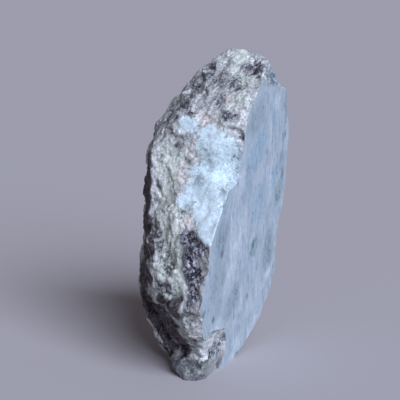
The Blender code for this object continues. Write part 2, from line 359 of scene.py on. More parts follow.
# %% Note the grey-green rock
GREEN = [
    # crown
    ((12.2, -3.8, 97.0), (3.0, 4.9, 2.0), 0, 0.9),
    ((10.9, -7.9, 93.6), (2.4, 4.1, 1.4), 0, 0.5),
    ((16.8, -11.3, 91.3), (2.1, 3.9, 2.3), 0, 0.8),
    ((16.7, -16.7, 86.7), (2.7, 5.0, 3.1), 0, 0.7),
    # middle
    ((-5.2, -18.2, 65.9), (4.8, 9.1, 6.3), 0, 0.75),
    ((-5.0, -18.8, 57.0), (3.3, 6.8, 4.4), 0, 0.8),
    ((-2.3, -22.8, 53.5), (3.3, 5.3, 2.2), 0, 0.9),
    ((-5.1, -22.5, 49.7), (2.7, 5.8, 3.7), 0, 0.7),
    ((-0.6, -25.5, 47.4), (2.1, 6.1, 4.0), 0, 0.9),
    # lobe
    ((-2.0, -25.8, 42.8), (2.7, 4.5, 2.5), 0, 0.8),
    ((-2.9, -25.4, 40.6), (3.0, 4.9, 2.7), 0, 0.6),
    ((1.8, -28.3, 36.6), (2.1, 11.1, 7.8), 0, 0.95),
    ((-4.7, -25.8, 35.9), (2.7, 5.7, 3.6), 0, 0.7),
    # foot
    ((6.6, -17.4, 4.8), (2.4, 4.1, 2.0), 0, 0.5),
    ((1.4, -17.4, 3.2), (4.8, 7.2, 2.6), 0, 0.45),
    ((-6.7, -12.4, 3.2), (1.5, 3.1, 1.6), 0, 0.4),
]
print("green places:", len(GREEN))

# %% Note the sandy places
TAN = [
    # crown
    ((12.8, -16.1, 86.2), (1.2, 3.5, 2.0), -10, 0.7),
    # shoulder
    ((6.5, -18.9, 81.2), (3.9, 6.0, 2.3), 20, 0.7),
    ((10.4, -20.9, 79.1), (2.7, 4.5, 1.5), 0, 0.6),
    ((16.0, -21.1, 78.6), (1.8, 3.4, 1.8), 0, 0.4),
    ((-5.2, -16.6, 77.6), (3.6, 5.6, 1.4), 0, 0.3),
    ((2.3, -19.4, 70.8), (1.8, 4.2, 2.4), 0, 0.75),
    # middle
    ((0.0, -19.1, 64.4), (1.5, 5.9, 3.8), 12, 0.75),
    ((4.1, -26.0, 52.1), (1.8, 4.1, 2.4), -30, 1.0),
    ((2.2, -26.1, 50.2), (1.5, 3.2, 1.7), 0, 0.6),
    ((-5.4, -22.4, 49.9), (1.2, 2.5, 0.6), 0, 0.6),
    # lobe
    ((8.8, -32.2, 26.4), (2.1, 6.5, 4.3), 0, 0.45),
    # underside
    ((-8.5, -17.2, 17.8), (3.6, 5.8, 3.7), 0, 0.3),
    ((5.5, -25.9, 16.3), (2.4, 4.1, 2.1), 0, 0.75),
]
print("sandy places:", len(TAN))

# %% Note the white seams and crusts
WHITE = [
    # crown
    ((9.8, -1.6, 98.2), (2.4, 4.1, 1.0), 0, 0.5),
    ((18.9, -6.1, 96.6), (2.7, 4.5, 0.6), -25, 0.6),
    ((2.8, -1.0, 96.3), (2.7, 4.5, 0.7), -35, 0.8),
    ((19.5, -11.8, 91.5), (1.2, 4.0, 2.3), 20, 0.5),
    ((19.3, -18.0, 86.4), (0.9, 5.3, 3.3), 8, 0.35),
    ((19.0, -17.9, 86.4), (0.9, 5.6, 3.6), 12, 0.8),
    # shoulder
    ((18.6, -20.8, 81.1), (0.9, 5.7, 3.6), 15, 0.7),
    ((19.2, -20.8, 80.5), (1.5, 5.3, 3.3), 5, 0.5),
    ((0.4, -18.5, 77.3), (2.7, 4.5, 1.8), 0, 0.8),
    ((7.7, -20.5, 77.2), (3.0, 4.9, 1.2), 0, 0.45),
    ((-7.0, -16.8, 73.1), (2.4, 4.1, 1.8), 0, 0.3),
    ((-8.4, -16.6, 70.0), (1.8, 4.2, 2.4), 0, 0.45),
    # middle
    ((-8.3, -16.9, 67.0), (2.4, 4.4, 2.6), 0, 0.3),
    ((-8.8, -17.2, 64.0), (1.2, 4.9, 3.0), 0, 0.5),
    ((-7.9, -18.2, 54.9), (1.2, 3.6, 2.0), 0, 0.4),
    ((10.4, -27.8, 53.9), (2.7, 5.7, 3.6), 12, 0.7),
    ((-2.3, -22.8, 53.0), (3.3, 5.3, 3.0), 0, 0.25),
    ((4.1, -26.0, 52.1), (1.8, 4.1, 2.4), -30, 1.0),
    ((4.3, -26.5, 51.3), (1.8, 3.6, 2.0), 0, 0.5),
    ((-5.1, -22.4, 50.8), (2.4, 5.3, 3.3), 0, 0.3),
    ((-5.4, -22.4, 50.2), (1.2, 2.5, 0.5), 10, 0.7),
    ((11.7, -31.9, 47.6), (1.8, 3.3, 1.4), 0, 0.9),
    ((13.2, -33.4, 46.3), (0.7, 3.1, 1.6), 0, 0.6),
    # lobe
    ((6.7, -30.2, 40.5), (1.8, 4.1, 2.4), 0, 0.2),
    ((4.6, -29.3, 38.9), (1.2, 2.5, 0.6), 15, 1.0),
    ((-4.7, -25.6, 38.3), (2.7, 6.1, 4.0), 10, 0.35),
    ((5.8, -31.0, 26.9), (1.2, 4.0, 2.3), 0, 0.3),
    # underside
    ((5.4, -29.4, 22.8), (1.2, 3.0, 1.2), 0, 0.5),
    ((-17.5, -4.7, 12.6), (0.9, 4.4, 2.2), -35, 1.0),
    ((-13.3, -7.8, 9.4), (0.9, 4.5, 2.6), -40, 1.0),
    # foot
    ((4.6, -16.4, 7.2), (1.5, 3.0, 1.1), 20, 0.7),
    ((-5.0, -13.1, 6.5), (1.2, 2.5, 1.0), 0, 0.3),
    ((-9.4, -8.3, 5.8), (0.7, 3.4, 1.8), -40, 0.9),
    ((-3.9, -16.5, 2.9), (0.9, 3.9, 2.2), -25, 0.6),
    ((0.4, -18.3, 1.5), (2.4, 4.1, 1.1), 0, 0.2),
]
print("white places:", len(WHITE))

# %% Note the chalky blue
BLUE = [
    # crown
    ((21.5, -1.0, 92.0), (2.6, 8.5, 5.2), 0, 0.9),
    # shoulder
    ((2.2, -19.1, 78.7), (3.0, 4.9, 2.1), 0, 0.9),
    ((1.1, -18.7, 78.6), (3.0, 4.9, 2.4), 0, 0.95),
    ((0.0, -18.4, 77.3), (2.1, 3.7, 1.5), 0, 0.9),
    ((9.4, -20.8, 76.2), (4.5, 6.8, 2.4), 0, 0.95),
    ((11.8, -20.5, 71.9), (6.6, 9.5, 4.9), 0, 1.0),
    # middle
    ((9.2, -20.2, 64.9), (6.9, 9.9, 3.6), 0, 1.0),
    ((17.1, -19.2, 64.7), (4.2, 12.0, 8.5), 0, 0.9),
    ((8.8, -23.9, 59.7), (7.4, 10.7, 3.7), 0, 1.0),
    ((16.5, -24.7, 58.4), (2.7, 5.0, 3.0), -25, 0.95),
    ((0.5, -22.8, 56.8), (1.5, 3.1, 1.6), 0, 0.8),
    ((3.0, -23.5, 56.5), (2.7, 4.5, 1.6), 0, 0.9),
    ((16.1, -21.2, 56.2), (2.1, 4.6, 2.7), -20, 0.8),
    ((10.8, -27.2, 54.9), (5.1, 7.6, 3.6), -10, 1.0),
    ((13.6, -28.9, 54.9), (1.8, 4.9, 3.0), 18, 0.9),
    ((15.8, -25.9, 54.2), (1.5, 3.8, 2.1), 0, 0.6),
    ((15.5, -30.0, 53.6), (2.4, 5.4, 3.4), -20, 0.95),
    ((13.6, -31.3, 50.2), (1.5, 3.8, 2.1), 15, 0.9),
    ((11.3, -30.0, 50.0), (3.3, 6.0, 3.9), 0, 1.0),
    ((13.8, -31.8, 49.2), (1.8, 3.9, 2.2), -30, 0.9),
    # underside
    ((7.6, -12.0, 8.0), (2.2, 9.0, 6.5), 20, 0.42),
]
print("blue places:", len(BLUE))

# %% Note the haze over the blue, with painted shade in one place
HAZE_AND_SHADE = [
    # crown
    ((21.5, -1.0, 92.0), (3.0, 8.5, 5.6), 0, 0.9),
    # shoulder
    ((16.9, -20.2, 72.2), (2.1, 6.5, 4.3), 0, 0.3),
    ((9.6, -20.6, 71.8), (1.8, 4.2, 2.4), 0, 0.4),
    ((7.6, -20.0, 70.7), (0.9, 3.0, 1.5), -30, 0.8),
    # middle
    ((6.5, -19.7, 68.5), (3.6, 5.8, 3.7), 0, 0.6),
    ((9.9, -19.7, 67.2), (3.0, 5.8, 3.7), 0, 0.45),
    ((5.5, -19.5, 65.4), (2.7, 7.3, 4.9), 0, 0.45),
    # painted shade: this place dims the blue where its slope faces the lamp
    ((14.0, -20.5, 63.8), (4.0, 8.0, 3.5), 0, 0.35),
    ((5.4, -21.0, 62.7), (2.4, 4.1, 2.0), 0, 0.75),
    ((8.6, -23.4, 60.5), (2.7, 4.5, 2.5), 0, 0.35),
    ((3.2, -23.9, 56.0), (1.5, 2.9, 0.5), 10, 0.7),
    # underside
    ((7.6, -12.0, 8.0), (3.0, 9.0, 8.0), 20, 0.6),
]
print("hazy places:", len(HAZE_AND_SHADE))

# %% Put the minerals together
SPOTS = {"dark": DARK, "purple": PURPLE, "brown": BROWN, "green": GREEN,
         "tan": TAN, "white": WHITE, "blue": BLUE, "haze": HAZE_AND_SHADE}
print("places noted:", sum(len(spots) for spots in SPOTS.values()))


# %% Weigh one mineral
# the parts of an egg's reach at which its mineral is full and gone
CRISP = (0.6, 1.4)
SOFT = (0.3, 1.6)


def soft_step(low, high, values):
    t = np.clip((values - low) / (high - low), 0.0, 1.0)
    return t * t * (3.0 - 2.0 * t)


def times(vectors, other):
    """Vectors times a matrix or one vector. numpy's own product of such long lists can
    differ in its last digits from run to run, so the three parts are added up here."""
    return sum(np.multiply.outer(vectors[:, axis], other[axis]) for axis in range(3))


def weigh(points, spots, full, gone):
    """How much of a mineral there is at each point."""
    most = np.zeros(len(points))
    for centre, reach, tilt, share in spots:
        turn = Matrix.Rotation(AZIMUTH, 3, "Z") @ Matrix.Rotation(math.radians(tilt), 3, "Y")
        inside = times(points - np.array(centre), np.array(turn)) / np.array(reach)
        distance = np.linalg.norm(inside, axis=1)
        most = np.maximum(most, share * soft_step(gone, full, distance))
    return most


print("points in the first dark place:", int((weigh(POINTS, DARK[:1], *CRISP) > 0.0).sum()))

# %% Weigh the minerals at each point
RAGGED = ((4.0, 1.1), (1.6, 0.7))  # width of the noise, how far it pushes
SOFT_MINERALS = ("blue", "haze", "tan", "dark")

noise.seed_set(3)  # the vector noise would start elsewhere in each run without this
ragged = sum(np.array([noise.noise_vector(Vector(point) / width) for point in POINTS]) * push
             for width, push in RAGGED)
PUSHED = POINTS + ragged
WEIGHTS = {name: weigh(PUSHED, spots, *(SOFT if name in SOFT_MINERALS else CRISP))
           for name, spots in SPOTS.items()}
print("heaviest blue:", round(float(WEIGHTS["blue"].max()), 2))

# %% [markdown]
# ## Sides that the picture hides
#
# Nothing is known of the back but the kind of stone. Near the saw's plane runs the blue
# vein. Away from it comes the host rock, charcoal and brown, with sandy and green places
# and thin white seams. Noise sets how much of each there is, and only where the skin turns
# to the back.

# %% Weigh the minerals of the hidden sides
TO_VIEW = np.array([math.sin(AZIMUTH), -math.cos(AZIMUTH), 0.0])
facing = times(np.array([vert.normal for vert in stone_bm.verts]), TO_VIEW)
hidden = soft_step(0.0, -0.35, facing)
depth = times(np.array(SAW_POINT) - POINTS, SAW_NORMAL)


def drift(size, seed):
    """Slow noise over the skin, about -0.5 to 0.5."""
    offset = Vector((seed, 2.0 * seed, -seed))
    return np.array([noise.fractal(Vector(point) / size + offset, 1.0, 2.0, 4)
                     for point in PUSHED])


GROWN = {
    "blue": soft_step(9.0, 4.0, depth + 7.0 * drift(9.0, 3.0)),
    "haze": 0.9 * soft_step(-0.2, 0.4, drift(6.0, 5.0)),
    "dark": 0.75 * soft_step(0.0, 0.35, drift(8.0, 7.0)),
    "brown": 0.8 * soft_step(0.0, 0.45, drift(13.0, 11.0) + 0.01 * (depth - 15.0)),
    "tan": 0.9 * soft_step(0.1, 0.4, drift(10.0, 13.0)),
    "green": soft_step(0.0, 0.3, drift(12.0, 17.0)),
    "white": 0.8 * soft_step(0.09, 0.0, np.abs(drift(11.0, 19.0))),
}
for name, grown in GROWN.items():
    WEIGHTS[name] = np.maximum(WEIGHTS[name], grown * hidden)
print("hidden share of the skin:", round(float((hidden > 0.5).mean()), 2))

# %% [markdown]
# ## Weights on the skin
#
# Two more weights go by the place alone. High up beside the saw the vein is duller, and
# the knob that the stone stands on is worn smooth and less speckled; the same weight also
# darkens it with painted shade towards the floor. All weights are rounded to four digits
# before they are stored. Finer steps would not show.

# %% Store the weights
HEIGHTS = POINTS[:, 2]
WEIGHTS["saw_near"] = soft_step(4.0, 0.4, depth) * soft_step(56.0, 64.0, HEIGHTS)
# worn smooth near the floor; the same weight is painted shade that darkens the knob there
WEIGHTS["worn"] = soft_step(7.5, 5.0, HEIGHTS)
DIGITS = 4
for name in WEIGHTS:
    WEIGHTS[name] = np.round(WEIGHTS[name], DIGITS)
    layer = stone_bm.verts.layers.float.new(name)
    for vert, amount in zip(stone_bm.verts, WEIGHTS[name]):
        vert[layer] = amount
    print(name, "covers", round(float((WEIGHTS[name] > 0.4).mean()), 3), "of the skin")

# %% [markdown]
# ## Relief
#
# The broken sides are crowded with crystals, each at its own height, with dark gaps
# between them. Cells of a Voronoi pattern are just that: every point knows its nearest
# crystal and how near the next one is. Two sizes of them, some waves and a little grit are
# added up into one height. The large crystals also slope a little. Clean blue, brown skin
# and the worn knob are smoother, so their weights calm the height.
#
# Larger forms that the eye looks for, such as ledges, cracks and the lump over the foot,
# are noted as short lines with a width and a height.

# %% Note the ledges, cracks and lumps
# points on the line, width, height
FORMS = [
    # crest of the crown, and the dip beside it
    ([(12.4, -0.2, 98.0), (14.0, -0.5, 97.4), (16.0, -2.5, 97.2)], 2.0, 0.9),
    ([(18.6, -4.9, 97.9), (20.6, -5.0, 97.6)], 1.8, -0.6),
    # lower ledge of the lobe, and the crease above it
    ([(-5.6, -25.3, 30.2), (-1.8, -27.9, 28.3), (1.4, -29.7, 26.7), (3.2, -30.1, 26.1)], 0.7, 0.1),
    ([(-7.0, -24.9, 32.1), (-3.7, -26.5, 30.4), (-0.4, -28.4, 29.2), (2.6, -28.6, 28.3)],
     0.8, -0.6),
    # groove under the brow, and the crust on the left rim
    ([(-18.1, -6.2, 20.7), (-10.3, -17.0, 18.1), (-8.0, -12.4, 11.1), (-1.9, -15.8, 8.7)],
     1.6, -1.2),
    ([(-17.9, -5.1, 13.6), (-12.3, -8.6, 9.1), (-7.4, -10.6, 5.8)], 1.1, 0.7),
    # seam between foot and lump, the bright lump over it, and the hollow under that
    ([(-3.2, -14.2, 6.1), (1.0, -16.4, 5.4), (4.5, -17.8, 4.4), (6.7, -16.9, 6.3)], 0.8, -0.7),
    ([(3.1, -16.1, 7.2), (5.2, -16.4, 7.2)], 2.0, 0.8),
    ([(-0.7, -17.2, 10.2), (2.2, -16.9, 8.9)], 1.3, -0.7),
    # two veins in the lobe
    ([(-5.6, -23.4, 42.3), (-2.5, -25.4, 40.6), (-0.6, -27.0, 37.8)], 0.7, -0.45),
    ([(-4.1, -25.7, 38.4), (-2.6, -26.2, 35.6), (-0.8, -27.3, 34.6)], 0.6, -0.4),
    # two rows of pits on the left
    ([(-9.9, -17.1, 60.0), (-8.5, -17.5, 57.7)], 0.8, -0.6),
    ([(-10.6, -17.2, 56.6), (-9.0, -17.7, 54.1)], 0.8, -0.6),
    # holes at the top right and by the saw
    ([(17.8, -8.2, 95.1), (19.6, -10.4, 93.3)], 1.4, -0.6),
    ([(18.5, -20.5, 76.7), (18.5, -20.4, 75.5)], 0.7, -0.3),
    # creases where the blue window meets the saw, and left of the window
    ([(15.7, -28.1, 57.3), (16.6, -24.8, 58.7), (16.7, -18.0, 59.8)], 0.9, -0.45),
    ([(1.5, -23.6, 55.2), (4.5, -24.1, 56.5)], 0.7, -0.4),
    # the dark patch: a crystal in it, its upper edge, and a crack
    ([(4.4, -29.2, 38.9), (5.5, -29.6, 38.8)], 0.9, 0.45),
    ([(2.0, -26.4, 49.0), (4.9, -27.4, 48.6), (8.9, -30.4, 46.4), (13.3, -33.5, 46.0)], 1.2, -0.5),
    ([(6.3, -30.1, 40.5), (8.0, -30.4, 37.7), (9.3, -31.2, 34.8)], 0.7, -0.5),
]
FAR_AWAY = 1e9


def along(points, line, width):
    """1 on a line through space, falling away over its width."""
    nearest = np.full(len(points), FAR_AWAY)
    for start, end in zip(line, line[1:]):
        start = np.array(start)
        run = np.array(end) - start
        t = np.clip(times(points - start, run) / (run * run).sum(), 0.0, 1.0)
        nearest = np.minimum(nearest, np.linalg.norm(points - start - t[:, None] * run, axis=1))
    return np.exp(-(nearest / width) ** 2)


wavy = POINTS + ragged * 0.5
lines = sum(height * along(wavy, line, width) for line, width, height in FORMS)
print("lines, mm:", round(float(lines.min()), 2), "to", round(float(lines.max()), 2))


# %% Grow crystals
ONE = Vector((1.0, 1.0, 1.0))
CRYSTALS = ((4.6, 0.3, 0.04, 0.04), (1.5, 0.17, 0.0, 0.06))  # size, rise, slope, gap
WARP_WIDTH, WARP_PUSH = 4.0, 0.9


def ease(low, high, value):
    t = min(1.0, max(0.0, (value - low) / (high - low)))
    return t * t * (3.0 - 2.0 * t)


def crystals(point, size, rise, slope, gap):
    """The height of the nearest crystal here, lower in the gap to the next one."""
    distances, centres = noise.voronoi(point / size)
    seed = centres[0] * 7.0
    height = rise * (noise.cell(seed) - 0.5)
    lean = noise.cell_vector(seed) * 2.0 - ONE
    height += slope * lean.dot(point - centres[0] * size)
    return height - gap * (1.0 - ease(0.0, 0.3, distances[1] - distances[0]))


def waves(point):
    return 0.34 - abs(noise.fractal(point / 3.6, 1.0, 2.1, 3))


def grit(point):
    return noise.noise(point / 1.2) + 0.5 * noise.noise(point / 0.7)


def rough(point):
    warped = point + noise.noise_vector(point / WARP_WIDTH) * WARP_PUSH
    height = sum(crystals(warped, *kind) for kind in CRYSTALS)
    return height + 0.05 * waves(warped) + 0.14 * grit(point) + 0.05


def calm(point):
    return 0.3 * waves(point * 0.6) + 0.05 * grit(point)


print("height at the first point, mm:", round(rough(Vector(POINTS[0])), 2), "where rough,",
      round(calm(Vector(POINTS[0])), 2), "where calm")

# %% Push the skin in and out
heights = stone_bm.verts.layers.float.new("relief")
calmness = np.maximum(1.2 * WEIGHTS["blue"], 0.5 * WEIGHTS["brown"])
calmness = np.maximum(calmness, 0.6 * WEIGHTS["worn"])
for index, vert in enumerate(stone_bm.verts):
    point = vert.co / MM
    beyond = SAW_NORMAL.dot(point - SAW_POINT)
    spare = ease(0.6, 0.9, vert.normal.dot(SAW_NORMAL)) * ease(0.6, 1.6, beyond)
    still = min(1.0, calmness[index])
    height = rough(point) * (1.0 - still) + calm(point) * still + lines[index]
    vert[heights] = round(height * (1.0 - spare), DIGITS)
for vert in stone_bm.verts:
    vert.co += vert.normal * vert[heights] * MM
levels = sorted(vert[heights] for vert in stone_bm.verts)
print("relief, mm, lowest, low, middle, high, highest:",
      [round(levels[int((len(levels) - 1) * share)], 2) for share in (0.0, 0.05, 0.5, 0.95, 1.0)])

# %% [markdown]
# ## Flat faces
#
# Two cuts take the spare rock off again. Each leaves one open rim, which is filled with
# one flat face. The rim's edges are marked sharp, so that light breaks at the saw's edge
# while the broken sides stay smooth between their points.


# %% Cut flat faces
ON_CUT = 0.001


def cut_flat(bm, point, normal):
    everything = bm.verts[:] + bm.edges[:] + bm.faces[:]
    cut = bmesh.ops.bisect_plane(bm, geom=everything, dist=ON_CUT * MM, plane_co=point * MM,
                                 plane_no=normal, clear_outer=True)
    rim = [item for item in cut["geom_cut"] if isinstance(item, bmesh.types.BMEdge)]
    filled = bmesh.ops.holes_fill(bm, edges=rim)["faces"]
    for edge in rim:
        edge.smooth = False
    for face in filled:
        face.smooth = False
    return filled


for face in stone_bm.faces:
    face.smooth = True
sawn = cut_flat(stone_bm, SAW_POINT, SAW_NORMAL)
for face in sawn:
    face.material_index = 1
foot = cut_flat(stone_bm, FLOOR, DOWN)
print("faces that the saw filled:", len(sawn), "and the foot:", len(foot))

# %% Close the mesh
loose = [vert for vert in stone_bm.verts if not vert.link_faces]
bmesh.ops.delete(stone_bm, geom=loose, context="VERTS")
bmesh.ops.triangulate(stone_bm, faces=[face for face in stone_bm.faces if len(face.verts) > 4])
stone_bm.to_mesh(stone.data)
print("triangles:", sum(len(face.verts) - 2 for face in stone_bm.faces),
      "open edges:", sum(not edge.is_manifold for edge in stone_bm.edges))
stone_bm.free()

# %% [markdown]
# ## Finishes
#
# A finish is a web of shader nodes. Writing each node by hand is long, so a small class
# holds a value on its way through the web: a sum in Python then adds its Math nodes, and
# one method adds any other node.


# %% A value on its way through the nodes
class Flow:
    """A socket that can be added, subtracted and multiplied."""

    def __init__(self, tree, socket=None):
        self.tree = tree
        self.socket = socket

    def node(self, kind, settings, sockets, out=0):
        """Add a node: its settings first, then the values or links of its sockets."""
        node = self.tree.nodes.new("ShaderNode" + kind)
        for name, value in settings.items():
            if name == "stops":
                set_stops(node.color_ramp, value)
            else:
                setattr(node, name, value)
        for name, value in sockets.items():
            if isinstance(value, Flow):
                self.tree.links.new(value.socket, node.inputs[name])
            else:
                node.inputs[name].default_value = value
        return Flow(self.tree, node.outputs[out])

    def maths(self, operation, first, second):
        return self.node("Math", {"operation": operation}, {0: first, 1: second})

    def __add__(self, other):
        return self.maths("ADD", self, other)

    def __radd__(self, other):
        return self.maths("ADD", other, self)

    def __sub__(self, other):
        return self.maths("SUBTRACT", self, other)

    def __rsub__(self, other):
        return self.maths("SUBTRACT", other, self)

    def __mul__(self, other):
        return self.maths("MULTIPLY", self, other)

    def __rmul__(self, other):
        return self.maths("MULTIPLY", other, self)


# %% Colours on a ramp
def set_stops(ramp, stops):
    """Put colours on a ramp. It starts with two stops at its ends."""
    while len(ramp.elements) < len(stops):
        ramp.elements.new(0.5)
    for element, (position, colour) in zip(ramp.elements, stops):
        element.position = position
        element.color = colour


def paint(red, green, blue):
    """A colour as it is on the screen, from 0 to 255, as Blender's linear colour."""
    def linear(level):
        level = level / 255.0
        return level / 12.92 if level <= 0.04045 else ((level + 0.055) / 1.055) ** 2.4
    return (linear(red), linear(green), linear(blue), 1.0)


def tones(value, colours):
    """Colours from dark to light, spread evenly over a value from 0 to 1."""
    last = len(colours) - 1
    stops = [(index / last, paint(*colour)) for index, colour in enumerate(colours)]
    return value.node("ValToRGB", {"stops": stops}, {"Fac": value})


print("middle grey on the screen, in linear light:", round(paint(128, 128, 128)[0], 3))

# %% Start a finish
def new_finish(name):
    """A material, its shader, and the place on the stone in millimetres."""
    material = bpy.data.materials.new(name)
    material.use_nodes = True
    shader = material.node_tree.nodes["Principled BSDF"]
    flow = Flow(material.node_tree)
    place = flow.node("TexCoord", {}, {}, out="Object")
    place = flow.node("VectorMath", {"operation": "SCALE"}, {0: place, 3: 1.0 / MM})
    return material, shader, place


def feed(flow, shader, name):
    flow.tree.links.new(flow.socket, shader.inputs[name])


def feed_bump(height, distance, shader):
    """Bump for what is finer than the mesh, with its distance in millimetres."""
    bump = height.node("Bump", {}, {"Height": height, "Distance": distance * MM, "Strength": 0.6},
                       out="Normal")
    feed(bump, shader, "Normal")


# %% Patterns that the finishes share
def cloud(place, size, detail=2.0, rough=0.5, out=0):
    """Noise from 0 to 1, with spots of about the size given."""
    return place.node("TexNoise", {}, {"Vector": place, "Scale": 1.0 / size, "Detail": detail,
                                       "Roughness": rough}, out=out)


def step(value, low, high, to_low=0.0, to_high=1.0):
    return value.node("MapRange", {"interpolation_type": "SMOOTHSTEP"},
                      {"Value": value, "From Min": low, "From Max": high,
                       "To Min": to_low, "To Max": to_high})


def blend(mask, first, second):
    return mask.node("Mix", {"data_type": "RGBA"}, {0: mask, 6: first, 7: second}, out=2)


def scaled(vector, amount):
    return vector.node("VectorMath", {"operation": "SCALE"}, {0: vector, 3: amount})


def moved(place, offset):
    return place.node("VectorMath", {"operation": "ADD"}, {0: place, 1: offset})


# %% [markdown]
# ## Broken rock
#
# Seen close, the broken sides are a mix of crystals from nearly black to white, and each
# mineral only shifts the mix. So one speckle gives every crystal a tone from 0 to 1. The
# weights on the skin shift that tone darker or paler, and choose which of six ramps of
# colour it is read from. Where there is much dark or white mineral, some whole grains turn
# dark or white. The borders between ramps follow the speckle too, so they look grown, not
# drawn. Painted shade also darkens the tone in the hollows of the relief and on the knob
# by the floor, and the crown gets a little painted shade, the sides below it a little
# painted light.

# %% Grains of the broken rock
SPECKLE, CRYSTAL, FLECK, MOTTLE = 1.2, 0.9, 0.7, 6.0  # widths of the patterns
ELSEWHERE = (31.0, 17.0, 5.0)  # flecks are read from another part of the noise
rough_faces, shader, place = new_finish("rough_faces")
speckle = (cloud(place, SPECKLE, detail=3.0, rough=0.65) - 0.5) * 0.75
crystal = place.node("TexVoronoi", {"feature": "F1"}, {"Vector": place, "Scale": 1.0 / CRYSTAL},
                     out="Color")
crystal = crystal.node("SeparateColor", {}, {"Color": crystal}) - 0.5
fleck = cloud(moved(place, ELSEWHERE), FLECK, detail=2.0, rough=0.6) - 0.5
mottle = cloud(place, MOTTLE, detail=3.0, rough=0.6) - 0.5
print("nodes for the grains:", len(rough_faces.node_tree.nodes))

# %% Read the weights
names = list(WEIGHTS) + ["relief"]
dark, purple, brown, green, tan, white, blue, haze, saw_near, worn, relief = (
    place.node("Attribute", {"attribute_name": name}, {}, out="Fac") for name in names)
print("weights read:", names)

# %% Tone of the broken rock
PLAIN_TONE = 0.74
# painted shade: the tone is darkened in the hollows of the relief
hollow_shade = step(relief, -1.0, -0.2, 1.0, 0.0)
speck = (speckle + crystal * 0.2 + fleck * 1.1 + mottle * 0.4) * (1.0 - worn * 0.6)
unworn = 1.0 - worn * 0.7
dark_grains = step(dark + crystal * 1.4 + fleck * 2.6, 0.52, 0.6) * unworn
white_grains = step(white - crystal * 1.2 + fleck * 1.6, 0.52, 0.6) * unworn
tone = PLAIN_TONE + speck - dark * 0.26 - dark_grains * 0.4 - hollow_shade * 0.14
# painted shade: the knob is darkened towards the floor
tone = tone + white * 0.08 + white_grains * 0.18 + green * 0.04 - worn * 0.32
# painted shade and painted light: the crown is made a little darker and the sides below it a little
# paler, apart from the dark places
up = place.node("SeparateXYZ", {}, {"Vector": place}, out=2)
tone = tone + step(up, 62.0, 88.0, 0.08, -0.06) * (1.0 - dark)
print("nodes with the tone:", len(rough_faces.node_tree.nodes))

# %% Tone of the blue
BLUE_TONE = 0.68
# haze, and painted shade where one of its places lies, make the blue darker and more speckled
blue_tone = BLUE_TONE + speck * (0.25 + haze * 0.5) + fleck * 0.2 - haze * 0.44
blue_tone = blue_tone - dark * 0.3 - dark_grains * 0.3 + white * 0.2
# painted shade in the hollows of the blue as well
blue_tone = blue_tone - saw_near * 0.26 - hollow_shade * 0.1
lilac_tone = tone + fleck * 1.4 + speckle * 0.8 + crystal * 0.7 + mottle * 0.8 - 0.35
print("nodes with the blue:", len(rough_faces.node_tree.nodes))

# %% Ramps of the broken rock
ROCK = ((38, 38, 45), (85, 87, 93), (138, 144, 142), (166, 173, 170), (194, 200, 198))
GREENISH = ((46, 50, 50), (98, 106, 100), (152, 163, 154), (174, 185, 175), (196, 205, 197))
SAND = ((58, 55, 53), (116, 114, 109), (166, 165, 158), (190, 189, 183), (208, 208, 203))
LILAC = ((30, 32, 38), (62, 65, 73), (100, 103, 111), (144, 147, 154), (192, 194, 198))
EARTH = ((25, 21, 25), (54, 49, 53), (88, 83, 86), (121, 115, 115), (170, 165, 162))
CHALKY = ((84, 98, 106), (150, 168, 172), (178, 200, 203), (200, 222, 226), (216, 234, 236))
EARTH_DARKER = 0.38


def border(share):
    """The border of a mineral, ragged by the speckle."""
    return step(share + speck * 0.7 + fleck * 0.5, 0.3, 0.62)


colour = blend(border(green), tones(tone, ROCK), tones(tone, GREENISH))
colour = blend(border(tan) * 0.8, colour, tones(tone, SAND))
colour = blend(step(blue + speck * 0.7, 0.22, 0.7), colour, tones(blue_tone, CHALKY))
bare_brown = brown - white * 0.9  # white crust covers the brown skin
colour = blend(step(bare_brown + speck * 0.9, 0.2, 0.75), colour, tones(tone - EARTH_DARKER, EARTH))
colour = blend(border(purple), colour, tones(lilac_tone, LILAC))
print("nodes with the ramps:", len(rough_faces.node_tree.nodes))

# %% Finish the broken rock
feed(scaled(colour, step(fleck, -0.3, 0.3, 0.86, 1.14)), shader, "Base Color")
feed(step(speck + fleck, -0.4, 0.5, 0.95, 0.75), shader, "Roughness")
shader.inputs["Specular IOR Level"].default_value = 0.15
feed_bump((fleck * 0.5 + speckle * 0.15 + crystal * 0.1) * (1.0 - blue * 0.6), 0.25, shader)
stone.data.materials.append(rough_faces)
print("broken rock:", len(rough_faces.node_tree.nodes), "nodes")

# %% [markdown]
# ## Sawn face
#
# Larimar grows as fine fibres. The saw laid them bare, so the blue runs along the face in
# streaks, between deeper, greyer and paler patches and a few dark dashes. The fibres lean
# a little against the stone's upright, so the place is turned into their direction first.
# Noise that is stretched along them then gives the streaks. The patches are egg-shaped
# places again, but read in the nodes, because one flat face has no points inside it that
# could carry weights.

